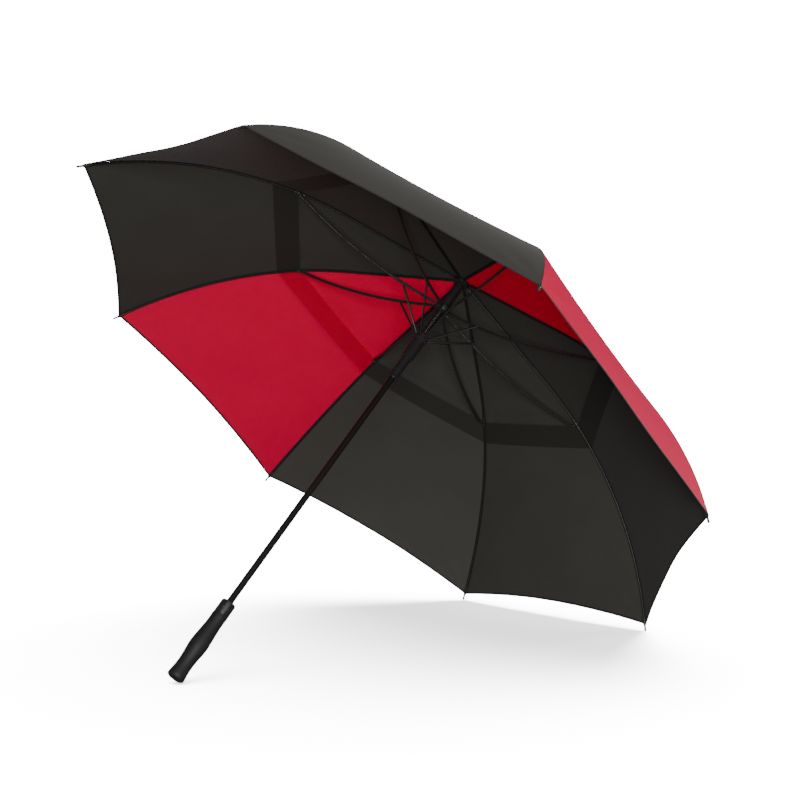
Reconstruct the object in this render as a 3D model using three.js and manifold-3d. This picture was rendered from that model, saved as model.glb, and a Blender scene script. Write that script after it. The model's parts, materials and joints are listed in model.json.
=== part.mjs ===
// Golf umbrella with a double, vented canopy, lying open on the floor.
// Millimetres, +Z up. It rests on two rib tips and on the edge of the handle's end.
//
// Everything is first built in the umbrella's own frame: origin on the shaft's axis level with the crown,
// +Z along the shaft towards the ferrule, and +X towards the side that lies lowest. One arm of the frame
// (rib, tip, stretcher, strut) is built in its own radial plane, with x outwards and z along the shaft.
import * as THREE from 'three';
import * as BufferGeometryUtils from 'three/addons/utils/BufferGeometryUtils.js';
import Module from 'manifold-3d';

const wasm = await Module();
wasm.setup();

// ---------------------------------------------------------------- driving dimensions
const ribCount = 8;
const roundFaces = 20;
const fit = 0.35; // gap between neighbours that touch or slide

const shaft = { radius: 6, bore: 4.9, top: 24, end: -916 };
const handle = {
  top: -771, collarEnd: -797, coreEnd: -918, end: -928, collarRadius: 13.5, stemRadius: 8.4,
  rimRadius: 15.8, rimHeight: 4,
};
const cup = { radius: 10.5, depth: 12 }; // mouth of the collar, which takes the runner's foot
const lever = { azimuth: -120, width: 7.8, pinX: 11.6, pinZ: -785, pinRadius: 1, face: 14.2 };

// a rib is straight near the crown and then bends in one arc down to its tip
const rib = {
  hingeX: 14, hingeZ: -4, radius: 2.1,
  straight: 240, startAngle: 12, arcLength: 500, endAngle: 52.5,
  rodStart: 15, rodSteps: 10, eyeRadius: 2.5, eyeThick: 2.2, bracketAt: 336,
};
const tip = { socketLength: 14, socketRadius: 3.1, pinLength: 13, pinRadius: 2.1 };

// links lie beside the rib, not under it, so that they pass it as the umbrella folds
const linkSide = 3.9; // inner face of the stretchers, measured from the rib's plane
const stretcher = { hubX: 11.5, hubZ: -75, bow: 16, width: 4.4, height: 4.6, wall: 1, eyeThick: 2.4, dropFromRib: 5.2 };
const strut = { runnerX: 12, runnerZ: -150, jointX: 88, thick: 2.2, side: 1.25, height: 4.2 };
const pivot = { pinRadius: 0.8, holeRadius: 1.2, eyeRadius: 2.2 };

const ferrule = { length: 70, endRadius: 4 };
const hub = { top: -69, bottom: -81, radius: 15.5, seatEnd: -84 };
const runner = { top: -145, flangeEnd: -157, bodyEnd: -202, neckEnd: -232, end: -253, springFloor: -197 };
const spring = { coilRadius: 7.45, wireRadius: 0.7, turns: 13, stepsPerTurn: 10 };

const fabric = { thick: 1, overRib: 4, seamGap: 0.25, hemDip: 16, sag: 12 };
const vent = { lowerStart: 340, upperEnd: 393, lift: 6.5, liftFrom: 285, innerEnd: -3 };

// ---------------------------------------------------------------- colours
const look = {
  blackSteel: [0x141416, 0.35, 0.7],
  fibreglass: [0x18181a, 0.3, 0.1],
  blackPlastic: [0x1c1c1d, 0.5, 0],
  darkPlastic: [0x202022, 0.6, 0],
  softGrip: [0x252527, 0.9, 0],
  springSteel: [0x2a2a2c, 0.35, 0.9],
  blackCloth: [0x23221f, 0.85, 0],
  redCloth: [0xc0081f, 0.8, 0],
};

// ---------------------------------------------------------------- helpers
const radians = THREE.MathUtils.degToRad;

function makeMesh(name, geometry, [color, roughness, metalness]) {
  const mesh = new THREE.Mesh(geometry, new THREE.MeshStandardMaterial({ color, roughness, metalness }));
  mesh.name = name;
  return mesh;
}

function toSolid(geometry) {
  const bare = new THREE.BufferGeometry();
  bare.setAttribute('position', geometry.getAttribute('position').clone());
  if (geometry.index) bare.setIndex(geometry.index.clone());
  const merged = BufferGeometryUtils.mergeVertices(bare, 1e-4);
  return new wasm.Manifold(new wasm.Mesh({
    numProp: 3,
    vertProperties: new Float32Array(merged.getAttribute('position').array),
    triVerts: new Uint32Array(merged.index.array),
  }));
}

function toGeometry(solid) {
  const mesh = solid.getMesh();
  const geometry = new THREE.BufferGeometry();
  geometry.setAttribute('position', new THREE.BufferAttribute(new Float32Array(mesh.vertProperties), 3));
  geometry.setIndex(new THREE.BufferAttribute(new Uint32Array(mesh.triVerts), 1));
  geometry.computeVertexNormals();
  return geometry;
}

const join = (first, ...others) =>
  toGeometry(others.reduce((solid, other) => solid.add(toSolid(other)), toSolid(first)));
const cut = (body, ...tools) =>
  toGeometry(tools.reduce((solid, tool) => solid.subtract(toSolid(tool)), toSolid(body)));

// a closed outline of [radius, z] points turned round the shaft's axis
function turned(outline, faces = roundFaces) {
  const closed = [...outline, outline[0]].map(([r, z]) => new THREE.Vector2(r, z));
  const geometry = new THREE.LatheGeometry(closed, faces);
  geometry.rotateX(Math.PI / 2);
  const area = THREE.ShapeUtils.area(closed.slice(0, -1));
  return area > 0 ? geometry : flipped(geometry);
}

function flipped(geometry) {
  const index = geometry.index.array;
  for (let i = 0; i < index.length; i += 3) {
    [index[i + 1], index[i + 2]] = [index[i + 2], index[i + 1]];
  }
  return geometry;
}

function roundBar(radius, from, to, faces = 10) {
  const geometry = new THREE.CylinderGeometry(radius, radius, to - from, faces);
  return geometry.translate(0, (from + to) / 2, 0);
}

function box(x, y, z) {
  const geometry = new THREE.BoxGeometry(x[1] - x[0], y[1] - y[0], z[1] - z[0]);
  return geometry.translate((x[0] + x[1]) / 2, (y[0] + y[1]) / 2, (z[0] + z[1]) / 2);
}

function circlePoints(radius, faces, x = 0, y = 0) {
  return Array.from({ length: faces }, (_, i) => {
    const angle = (i * 2 * Math.PI) / faces;
    return new THREE.Vector2(x + radius * Math.cos(angle), y + radius * Math.sin(angle));
  });
}

const circle = (radius, faces) => new THREE.Shape(circlePoints(radius, faces));
const roundHole = (radius, x, y) => new THREE.Path(circlePoints(radius, 8, x, y));

// an outline drawn in the radial plane (x, z), given thickness across it from y = low to y = high
function plate(shape, low, high, curveSegments = 8) {
  const geometry = new THREE.ExtrudeGeometry(shape, { depth: high - low, bevelEnabled: false, curveSegments });
  return geometry.rotateX(Math.PI / 2).translate(0, high, 0);
}

// a flat link end: a round eye at the start and a straight bar from it, with a hole for the pin
function eyeShape(length, eyeRadius, halfHeight, holeRadius) {
  const shape = new THREE.Shape();
  const meet = Math.asin(halfHeight / eyeRadius);
  shape.moveTo(length, -halfHeight);
  shape.lineTo(length, halfHeight);
  shape.absarc(0, 0, eyeRadius, meet, 2 * Math.PI - meet, false);
  if (holeRadius > 0) shape.holes.push(roundHole(holeRadius));
  return shape;
}

// places a shape drawn along +x at a point of the radial plane, turned down by an angle
const seat = (geometry, x, z, down) => geometry.rotateY(down).translate(x, 0, z);

// repeats one geometry round the shaft, one copy for each arm
const round = (make) => Array.from({ length: ribCount }, (_, i) => make().rotateZ((i * 2 * Math.PI) / ribCount));

// ---------------------------------------------------------------- the rib's line
const ribLength = rib.straight + rib.arcLength;
const bendFrom = radians(rib.startAngle);
const bendRadius = rib.arcLength / (radians(rib.endAngle) - bendFrom);

// point and downward slope of the rib's centre line, at a distance along it from the crown's hinge
function ribAt(along) {
  const straight = Math.min(along, rib.straight);
  const x = rib.hingeX + straight * Math.cos(bendFrom);
  const z = rib.hingeZ - straight * Math.sin(bendFrom);
  if (along <= rib.straight) return { x, z, slope: bendFrom };
  const slope = bendFrom + (along - rib.straight) / bendRadius;
  return {
    x: x + bendRadius * (Math.sin(slope) - Math.sin(bendFrom)),
    z: z - bendRadius * (Math.cos(bendFrom) - Math.cos(slope)),
    slope,
  };
}

class RibLine extends THREE.Curve {
  getPoint(t) {
    const { x, z } = ribAt(rib.rodStart + t * (ribLength - rib.rodStart));
    return new THREE.Vector3(x, 0, z);
  }
}

// ---------------------------------------------------------------- where the links meet
const bracket = ribAt(rib.bracketAt);
const outerJoint = {
  x: bracket.x - stretcher.dropFromRib * Math.sin(bracket.slope),
  z: bracket.z - stretcher.dropFromRib * Math.cos(bracket.slope),
};

// the stretcher's bowed centre line, an arc from the hub to the rib that hangs towards the handle
const chord = Math.hypot(outerJoint.x - stretcher.hubX, outerJoint.z - stretcher.hubZ);
const chordSlope = Math.atan2(stretcher.hubZ - outerJoint.z, outerJoint.x - stretcher.hubX);
const bowRadius = (chord ** 2 / 4 + stretcher.bow ** 2) / (2 * stretcher.bow);
const bowHalfAngle = Math.asin(chord / 2 / bowRadius);

function stretcherAt(along) {
  const angle = (along - 0.5) * 2 * bowHalfAngle;
  const x = chord / 2 + bowRadius * Math.sin(angle);
  const z = bowRadius * (Math.cos(bowHalfAngle) - Math.cos(angle));
  return {
    x: stretcher.hubX + x * Math.cos(chordSlope) + z * Math.sin(chordSlope),
    z: stretcher.hubZ - x * Math.sin(chordSlope) + z * Math.cos(chordSlope),
    slope: chordSlope - angle,
  };
}

const strutJoint = stretcherAt((strut.jointX - stretcher.hubX) / chord);

// ---------------------------------------------------------------- shaft, crown and ferrule
function makeShaft() {
  const { radius, bore, top, end } = shaft;
  return turned([[bore, end], [radius, end], [radius, top], [bore, top]]);
}

function makeFerrule() {
  const socket = shaft.radius + fit;
  const { length, endRadius } = ferrule;
  const dome = [60, 30].map((degrees) => [
    endRadius * Math.sin(radians(degrees)), length - endRadius + endRadius * Math.cos(radians(degrees)),
  ]);
  return turned([
    [socket, 5.6], [9, 5.6], [9.4, 7], [9, 12], [7.4, 15], [6.9, 30], [5.2, 60], ...dome,
    [0, length], [0, 26.5], [socket - 1, 26], [socket, 25],
  ]);
}

function makeCrownCap() {
  const bore = shaft.radius + fit;
  return turned([[bore, 1.8], [15.6, 1.8], [16, 2.4], [13, 4.2], [8.6, 5.2], [bore, 5.2]]);
}

function makeCrown() {
  const bore = shaft.radius + fit;
  const body = turned([
    [bore, -14], [9.4, -14], [9.4, -10.5], [12, -9.4], [15.6, -8.8], [16, -8.2], [16, -2.2], [15.4, -1.6], [bore, -1.6],
  ]);
  const slotHalf = rib.eyeThick / 2 + fit;
  const slots = round(() => box([10.9, 20], [-slotHalf, slotHalf], [-12, 0]));
  const wire = new THREE.TorusGeometry(rib.hingeX, 0.7, 4, 16);
  return join(cut(body, ...slots), wire.translate(0, 0, rib.hingeZ));
}

function makeStopSleeve() {
  const bore = shaft.radius + fit;
  return turned([[bore, hub.top + fit], [9.4, hub.top + fit], [9.4, -14 - fit], [bore, -14 - fit]]);
}

// ---------------------------------------------------------------- hub, runner and spring
// slots and cross pins for the links, which lie from y = low to y = high beside their arm's plane
function linkSlots(x, z, low, high, zRange) {
  const pin = () => roundBar(pivot.pinRadius, low - 1, high + 1, 6).translate(x, 0, z);
  const slot = () => box([x - pivot.eyeRadius - fit, 30], [low - fit, high + fit], zRange);
  return { slots: round(slot), pins: round(pin) };
}

function makeHub() {
  const bore = shaft.radius + 0.5;
  const { top, bottom, radius, seatEnd } = hub;
  const body = turned([
    [bore, seatEnd], [8.6, seatEnd], [8.6, bottom], [radius - 2.5, bottom], [radius, bottom + 6],
    [radius, top - 1.5], [radius - 1.5, top], [bore, top],
  ]);
  const links = linkSlots(
    stretcher.hubX, stretcher.hubZ, linkSide, linkSide + stretcher.eyeThick, [bottom - 1, top + 1],
  );
  return join(cut(body, ...links.slots), ...links.pins);
}

function makeRunner() {
  const bore = shaft.radius + 0.5;
  const { top, flangeEnd, bodyEnd, neckEnd, end, springFloor } = runner;
  const springBore = spring.coilRadius + spring.wireRadius + 0.6;
  const body = turned([
    [bore, end], [8.6, end], [9, end + 0.6], [9, end + 1.4], [7.8, end + 1.8], [7.8, end + 5.2], [9, end + 5.8],
    [9, neckEnd - 5], [10.3, neckEnd - 4], [10.3, neckEnd], [9.2, neckEnd + 1.2], [9.2, bodyEnd - 1],
    [12.2, bodyEnd], [12.2, flangeEnd - 1.5], [14.2, flangeEnd], [14.2, top - 1.2], [13, top],
    [springBore, top], [springBore, springFloor], [bore, springFloor],
  ]);
  const links = linkSlots(
    strut.runnerX, strut.runnerZ, strut.side, strut.side + strut.thick, [flangeEnd + 2.5, top + 1],
  );
  return join(cut(body, ...links.slots), ...links.pins);
}

class CoilLine extends THREE.Curve {
  getPoint(t) {
    const angle = t * spring.turns * 2 * Math.PI;
    const from = runner.springFloor + spring.wireRadius + fit;
    const to = hub.seatEnd - spring.wireRadius - fit;
    const { coilRadius } = spring;
    return new THREE.Vector3(coilRadius * Math.cos(angle), coilRadius * Math.sin(angle), from + t * (to - from));
  }
}

function makeSpring() {
  const steps = spring.turns * spring.stepsPerTurn;
  return new THREE.ExtrudeGeometry(circle(spring.wireRadius, 4), { extrudePath: new CoilLine(), steps });
}

// ---------------------------------------------------------------- one arm: rib, tip, stretcher, strut
function makeRib() {
  const rod = new THREE.ExtrudeGeometry(circle(rib.radius, 7), { extrudePath: new RibLine(), steps: rib.rodSteps });
  const half = rib.eyeThick / 2;
  const eye = plate(eyeShape(rib.rodStart + 5, rib.eyeRadius, 1.7, 1.25), -half, half, 5);
  seat(eye, rib.hingeX, rib.hingeZ, bendFrom);
  const sleeve = roundBar(3.2, -11, 11, 7).rotateZ(Math.PI / 2);
  seat(sleeve, bracket.x, bracket.z, bracket.slope);
  const lug = plate(eyeShape(stretcher.dropFromRib, 2.6, 2.4, 0), 1, linkSide - fit, 5);
  seat(lug, outerJoint.x, outerJoint.z, bracket.slope - Math.PI / 2);
  return join(rod, eye, sleeve, lug);
}

function makeTip() {
  const { socketLength, socketRadius, pinLength, pinRadius } = tip;
  const bore = rib.radius + fit;
  const outline = [
    [bore, -socketLength], [socketRadius, -socketLength], [socketRadius, -1], [pinRadius, 1],
    [pinRadius, pinLength - 1], [pinRadius - 0.9, pinLength], [0, pinLength], [0, fit], [bore, fit],
  ];
  const lastStep = (ribLength - rib.rodStart) / rib.rodSteps;
  const end = ribAt(ribLength);
  const geometry = turned(outline, 8).rotateY(Math.PI / 2);
  return seat(geometry, end.x, end.z, ribAt(ribLength - lastStep / 2).slope);
}

class StretcherLine extends THREE.Curve {
  getPoint(t) {
    const clear = 0.035; // bare length at each end, where only the flat eye reaches
    const { x, z } = stretcherAt(clear + t * (1 - 2 * clear));
    return new THREE.Vector3(x, linkSide + stretcher.width / 2, z);
  }
}

// a folded steel channel, its open side towards the ribs
function channelShape() {
  const { width, height, wall } = stretcher;
  const [w, h] = [width / 2, height / 2];
  const outline = [
    [-h, -w], [h, -w], [h, -w + wall], [-h + wall, -w + wall], [-h + wall, w - wall], [h, w - wall], [h, w], [-h, w],
  ];
  return new THREE.Shape(outline.map(([up, across]) => new THREE.Vector2(across, -up)));
}

function makeStretcher() {
  const channel = new THREE.ExtrudeGeometry(channelShape(), { extrudePath: new StretcherLine(), steps: 6 });
  const eye = (holeRadius) => plate(
    eyeShape(16, pivot.eyeRadius, 1.9, holeRadius), linkSide, linkSide + stretcher.eyeThick, 5,
  );
  const inner = stretcherAt(0);
  const outer = stretcherAt(1);
  const rivet = roundBar(1.7, linkSide + 1, linkSide + stretcher.eyeThick + 1.2, 6);
  return join(
    channel,
    seat(eye(pivot.holeRadius), inner.x, inner.z, stretcherAt(0.02).slope),
    seat(eye(0), outer.x, outer.z, stretcherAt(0.98).slope + Math.PI),
    rivet.translate(outer.x, 0, outer.z),
  );
}

function makeStrut() {
  const { runnerX, runnerZ, thick, side, height } = strut;
  const length = Math.hypot(strutJoint.x - runnerX, strutJoint.z - runnerZ);
  const rise = Math.atan2(strutJoint.z - runnerZ, strutJoint.x - runnerX);
  const half = height / 2;
  const shape = new THREE.Shape();
  shape.absarc(0, 0, half, Math.PI / 2, (3 * Math.PI) / 2, false);
  shape.absarc(length, 0, half, -Math.PI / 2, Math.PI / 2, false);
  shape.holes.push(roundHole(pivot.holeRadius));
  return seat(plate(shape, side, side + thick, 5), runnerX, runnerZ, -rise);
}

// ---------------------------------------------------------------- canopy gores
// A gore spans from its own arm's plane to the next arm's. Its surface is straight from rib to rib but for
// a sag towards the inside, and it is a closed shell of even thickness.
function makeGore(from, to, hemDip, liftOf, alongSteps, acrossSteps) {
  const turn = (-2 * Math.PI) / ribCount;
  const middle = new THREE.Vector3(Math.cos(turn / 2), Math.sin(turn / 2), 0);
  const layer = (offset) => {
    const points = [];
    for (let i = 0; i <= alongSteps; i += 1) {
      for (let j = 0; j <= acrossSteps; j += 1) {
        const across = j / acrossSteps;
        const arch = 1 - (2 * across - 1) ** 2;
        const end = to - hemDip * arch;
        const along = from + (i / alongSteps) * (end - from);
        const { x, z, slope } = ribAt(along);
        const facetSlope = Math.atan(Math.tan(slope) / Math.cos(turn / 2));
        const normal = middle.clone().multiplyScalar(Math.sin(facetSlope)).setZ(Math.cos(facetSlope));
        const seam = fabric.seamGap / (2 * Math.max(x, 1) * Math.sin(-turn / 2));
        const share = seam + across * (1 - 2 * seam);
        const near = new THREE.Vector3(x, 0, z);
        const far = near.clone().applyAxisAngle(new THREE.Vector3(0, 0, 1), turn);
        const sag = fabric.sag * Math.min(along / rib.straight, 1) * 4 * share * (1 - share);
        const rise = fabric.overRib + liftOf(along) - Math.max(sag, 0) + offset;
        points.push(near.lerp(far, share).addScaledVector(normal, rise));
      }
    }
    return points;
  };
  return shellBetween(layer(fabric.thick / 2), layer(-fabric.thick / 2), alongSteps, acrossSteps);
}

function shellBetween(upper, lower, rows, columns) {
  const width = columns + 1;
  const under = upper.length;
  const index = [];
  const quad = (a, b, c, d) => index.push(a, b, c, a, c, d);
  for (let i = 0; i < rows; i += 1) {
    for (let j = 0; j < columns; j += 1) {
      const a = i * width + j;
      quad(a, a + 1, a + width + 1, a + width);
      quad(under + a, under + a + width, under + a + width + 1, under + a + 1);
    }
  }
  for (let j = 0; j < columns; j += 1) {
    const last = rows * width + j;
    quad(j, under + j, under + j + 1, j + 1);
    quad(last + 1, under + last + 1, under + last, last);
  }
  for (let i = 0; i < rows; i += 1) {
    const first = i * width;
    const last = first + columns;
    quad(first + width, under + first + width, under + first, first);
    quad(last, under + last, under + last + width, last + width);
  }
  const geometry = new THREE.BufferGeometry().setFromPoints([...upper, ...lower]);
  geometry.setIndex(index);
  geometry.computeVertexNormals();
  return geometry;
}

const ventLift = (along) => vent.lift * THREE.MathUtils.smoothstep(along, vent.liftFrom, vent.lowerStart);
const makeLowerGore = () => makeGore(vent.lowerStart, ribLength - 1, fabric.hemDip, () => 0, 5, 4);
const makeVentGore = () => makeGore(vent.innerEnd, vent.upperEnd, 0, ventLift, 4, 4);

// ---------------------------------------------------------------- handle
function makeHandleCore() {
  const bore = shaft.radius + fit;
  const { top, collarEnd, coreEnd, collarRadius, stemRadius } = handle;
  const body = turned([
    [bore, coreEnd], [stemRadius, coreEnd], [stemRadius, collarEnd], [collarRadius - 0.5, collarEnd],
    [collarRadius, collarEnd + 1], [collarRadius, top - 2], [collarRadius - 1.4, top],
    [cup.radius, top], [cup.radius, top - cup.depth], [bore, top - cup.depth],
  ]);
  const half = lever.width / 2 + fit;
  const window = box([7.2, 20], [-half, half], [collarEnd + 1.2, top + 5]);
  const pinHole = roundBar(lever.pinRadius + fit, -6.4, 6.4).translate(lever.pinX, 0, lever.pinZ);
  const azimuth = radians(lever.azimuth);
  return cut(body, window.rotateZ(azimuth), pinHole.rotateZ(azimuth));
}

// the release button is the outer face of a rocking lever whose upper end hooks the runner's foot
function makeLever() {
  const { pinX, pinZ, face, width, pinRadius } = lever;
  const hookTop = handle.top - 1.2;
  const outline = [
    [face, pinZ + 7.5], [face - 1.2, hookTop], [8.3, hookTop], [8.3, hookTop - 1.8], [10.9, hookTop - 3],
    [10.9, pinZ + 4], [9.6, pinZ + 3], [9.6, pinZ - 3], [11, pinZ - 4.5], [11, pinZ - 9.5],
    [face - 0.8, pinZ - 10.2], [face, pinZ - 9.2],
  ];
  const shape = new THREE.Shape(outline.map(([x, z]) => new THREE.Vector2(x, z)));
  shape.holes.push(roundHole(pinRadius + fit, pinX, pinZ));
  return plate(shape, -width / 2, width / 2).rotateZ(radians(lever.azimuth));
}

function makeLeverPin() {
  const pin = roundBar(lever.pinRadius, -6, 6, 8).translate(lever.pinX, 0, lever.pinZ);
  return pin.rotateZ(radians(lever.azimuth));
}

function makeGrip() {
  const bore = handle.stemRadius + fit;
  const start = handle.collarEnd - fit;
  const { end, rimRadius, rimHeight } = handle;
  return turned([
    [bore, start], [bore, handle.coreEnd - 0.6], [0, handle.coreEnd - 0.6], [0, end], [11, end],
    [14.6, end + 2], [rimRadius, end + rimHeight], [15.6, end + 9], [14.4, end + 20], [13.8, end + 32], [14.6, end + 46],
    [16.2, end + 60], [16.8, end + 70], [16, end + 82], [14.6, end + 96], [13.6, end + 110], [13.5, end + 122],
    [14, end + 128], [13.6, start],
  ].reverse());
}

// ---------------------------------------------------------------- assembly
const umbrella = new THREE.Group();
umbrella.add(
  makeMesh('shaft', makeShaft(), look.blackSteel),
  makeMesh('ferrule', makeFerrule(), look.blackPlastic),
  makeMesh('crown_cap', makeCrownCap(), look.darkPlastic),
  makeMesh('stop_sleeve', makeStopSleeve(), look.darkPlastic),
  makeMesh('main_spring', makeSpring(), look.springSteel),
  makeMesh('handle_core', makeHandleCore(), look.blackPlastic),
  makeMesh('release_lever', makeLever(), look.darkPlastic),
  makeMesh('lever_pin', makeLeverPin(), look.springSteel),
  makeMesh('grip', makeGrip(), look.softGrip),
);

const firstArm = radians(180 / ribCount); // the lowest two arms lie half a gore to each side of +X
const hubs = new THREE.Group();
hubs.rotation.z = firstArm;
hubs.add(
  makeMesh('crown', makeCrown(), look.blackPlastic),
  makeMesh('stretcher_hub', makeHub(), look.blackPlastic),
  makeMesh('runner', makeRunner(), look.blackPlastic),
);
umbrella.add(hubs);

const redGores = [2, 6];
for (let n = 1; n <= ribCount; n += 1) {
  const arm = new THREE.Group();
  arm.rotation.z = ((ribCount + 1) / 2 - n) * ((2 * Math.PI) / ribCount);
  const cloth = redGores.includes(n) ? look.redCloth : look.blackCloth;
  arm.add(
    makeMesh(`rib_${n}`, makeRib(), look.fibreglass),
    makeMesh(`rib_tip_${n}`, makeTip(), look.blackPlastic),
    makeMesh(`stretcher_${n}`, makeStretcher(), look.blackSteel),
    makeMesh(`strut_${n}`, makeStrut(), look.blackSteel),
    makeMesh(`canopy_gore_${n}`, makeLowerGore(), cloth),
    makeMesh(`vent_gore_${n}`, makeVentGore(), cloth),
  );
  umbrella.add(arm);
}

// ---------------------------------------------------------------- laid on the floor
// The shaft leans so that the two lowest tips and the rim of the handle's end touch one plane.
const ribEnd = ribAt(ribLength + tip.pinLength);
const tipReach = ribEnd.x * Math.cos(firstArm);
const lean = Math.atan2(tipReach - handle.rimRadius, ribEnd.z - handle.end - handle.rimHeight);
umbrella.rotation.y = Math.PI / 2 - lean;

const group = new THREE.Group();
group.add(umbrella);
group.updateMatrixWorld(true);
const bounds = new THREE.Box3().setFromObject(group, true);
const centre = bounds.getCenter(new THREE.Vector3());
umbrella.position.set(-centre.x, -centre.y, -bounds.min.z);
group.updateMatrixWorld(true);

export default group;
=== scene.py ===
import json
import math
import bpy
import numpy as np
from mathutils import Matrix, Vector


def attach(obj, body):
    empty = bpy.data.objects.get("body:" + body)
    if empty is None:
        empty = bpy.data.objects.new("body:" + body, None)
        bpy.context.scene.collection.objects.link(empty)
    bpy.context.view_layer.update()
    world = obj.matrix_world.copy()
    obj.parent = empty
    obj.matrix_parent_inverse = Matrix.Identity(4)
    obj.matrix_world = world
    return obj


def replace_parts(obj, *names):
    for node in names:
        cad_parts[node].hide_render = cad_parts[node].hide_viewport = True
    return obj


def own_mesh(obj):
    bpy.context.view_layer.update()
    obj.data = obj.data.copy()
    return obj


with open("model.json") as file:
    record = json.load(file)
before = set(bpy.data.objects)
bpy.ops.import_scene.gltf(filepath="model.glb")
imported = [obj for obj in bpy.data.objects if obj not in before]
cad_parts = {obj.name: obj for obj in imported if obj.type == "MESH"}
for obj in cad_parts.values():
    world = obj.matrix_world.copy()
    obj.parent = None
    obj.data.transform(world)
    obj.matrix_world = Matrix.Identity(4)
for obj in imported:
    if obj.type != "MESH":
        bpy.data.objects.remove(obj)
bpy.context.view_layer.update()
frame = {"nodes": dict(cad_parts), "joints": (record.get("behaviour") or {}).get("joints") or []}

print("golf umbrella: frame loaded")


# camera, low beside the open side; angles in degrees
cameraSetup = {
    "place": (-1.6495, -2.0947, 0.5365), "lens": 66.07, "sensor": 36, "seesTo": 60,
    "azimuth": -39.24, "tilt": -1.89, "roll": -1.38,
}
camera = bpy.data.objects.new("camera", bpy.data.cameras.new("camera"))
bpy.context.scene.collection.objects.link(camera)
bpy.context.scene.camera = camera
camera.data.lens = cameraSetup["lens"]
camera.data.sensor_width = cameraSetup["sensor"]
camera.data.clip_end = cameraSetup["seesTo"]
turnAbout = Matrix.Rotation(math.radians(cameraSetup["azimuth"]), 4, "Z")
tiltUp = Matrix.Rotation(math.radians(90 + cameraSetup["tilt"]), 4, "X")
rollOver = Matrix.Rotation(math.radians(cameraSetup["roll"]), 4, "Z")
camera.matrix_world = Matrix.Translation(cameraSetup["place"]) @ turnAbout @ tiltUp @ rollOver


# the umbrella's own axes, from the joints
armCount = 8
halfTurn = math.pi / armCount
joints = {j["name"]: j for j in frame["joints"]}
shaftUp = -np.array(joints["runner_slide"]["axis"], float)
shaftUp /= np.linalg.norm(shaftUp)
hinges = np.array([joints[f"rib_hinge_{n}"]["pos_m"] for n in range(1, armCount + 1)], float)

ribShape = {
    "hingeOut": 0.014, "hingeDown": 0.004, "straight": 0.240, "arc": 0.500,
    "startAngle": math.radians(12), "endAngle": math.radians(52.5), "radius": 0.0021,
    "rodFrom": 0.006, "rodShort": 0.0003, "rodSides": 16, "rodSteps": 90,
}
ribLength = ribShape["straight"] + ribShape["arc"]
hingeCentre = hinges.mean(axis=0)
crown = hingeCentre + ribShape["hingeDown"] * shaftUp


def unit(v):
    return v / np.linalg.norm(v, axis=-1, keepdims=True)


outward = unit(hinges - hingeCentre)  # one row for each arm
sideways = np.cross(shaftUp, outward)  # each arm's own y axis


def place(arm, x, y, z):
    # a point x outwards, y sideways and z up the shaft in an arm's own plane
    x, y, z = (np.asarray(c, float)[..., None] for c in (x, y, z))
    return crown + x * outward[arm % armCount] + y * sideways[arm % armCount] + z * shaftUp


def axial(azimuth, radius, z):
    # a point on a ring round the shaft: radius (cos a outward + sin a sideways) + z up
    return place(0, radius * np.cos(azimuth), radius * np.sin(azimuth), z)


def ribLine(along):
    # straight at the start angle, then one arc that steepens evenly; gives x, z and slope
    begin, end = ribShape["startAngle"], ribShape["endAngle"]
    bend = ribShape["arc"] / (end - begin)
    straight = np.minimum(along, ribShape["straight"])
    slope = begin + np.maximum(along - ribShape["straight"], 0) / bend
    x = (ribShape["hingeOut"] + straight * math.cos(begin)
         + bend * (np.sin(slope) - math.sin(begin)))
    z = (-ribShape["hingeDown"] - straight * math.sin(begin)
         - bend * (math.cos(begin) - np.cos(slope)))
    return x, z, slope


def ribPoint(at):
    # the same for one point, as plain numbers
    return tuple(float(value) for value in ribLine(np.array(at)))


def ribUp(arm, slope):
    # square to the rib, away from the handle, at each point of the rib
    return np.sin(slope)[:, None] * outward[arm] + np.cos(slope)[:, None] * shaftUp


# mesh helpers
def newPiece(name, points, faces, body, slot, material, uv=None, sharp=35):
    mesh = bpy.data.meshes.new(name)
    mesh.from_pydata(np.asarray(points, float).reshape(-1, 3).tolist(), [], faces)
    mesh.update()
    if uv is not None:
        layer = mesh.uv_layers.new(name="cloth")
        corner = np.empty(len(mesh.loops), np.int32)
        mesh.loops.foreach_get("vertex_index", corner)
        layer.data.foreach_set("uv", np.asarray(uv, np.float32).reshape(-1, 2)[corner].ravel())
    mesh.polygons.foreach_set("use_smooth", [True] * len(mesh.polygons))
    mesh.set_sharp_from_angle(angle=math.radians(sharp))
    mesh.materials.append(material)
    piece = bpy.data.objects.new(name, mesh)
    bpy.context.scene.collection.objects.link(piece)
    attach(piece, body)
    return piece


def gridFaces(rows, columns, wrap=False, start=0, turned=False):
    # quads over a grid of points, row by row; wrap joins the last column to the first
    i = np.arange(rows - 1)[:, None] * columns
    j = np.arange(columns if wrap else columns - 1)[None, :]
    k = (j + 1) % columns
    a, b, c, d = i + j, i + k, i + columns + k, i + columns + j
    order = (a, d, c, b) if turned else (a, b, c, d)
    return (np.stack(np.broadcast_arrays(*order), -1).reshape(-1, 4) + start).tolist()


def tubeFaces(rings, around):
    # quads round a tube and one face over each end
    first = list(range(around))
    last = [(rings - 1) * around + i for i in range(around)]
    return gridFaces(rings, around, wrap=True) + [first[::-1], last]


def shellFaces(rows, columns):
    # a closed sheet: an upper grid, a lower grid and a rim of quads all round
    under = rows * columns
    faces = gridFaces(rows, columns) + gridFaces(rows, columns, start=under, turned=True)
    rim = np.concatenate([
        np.arange(columns - 1), np.arange(rows - 1) * columns + columns - 1,
        rows * columns - 1 - np.arange(columns - 1), (rows - 1 - np.arange(rows - 1)) * columns,
    ])
    following = np.roll(rim, -1)
    faces += np.stack([rim, rim + under, following + under, following], -1).tolist()
    return faces


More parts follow.
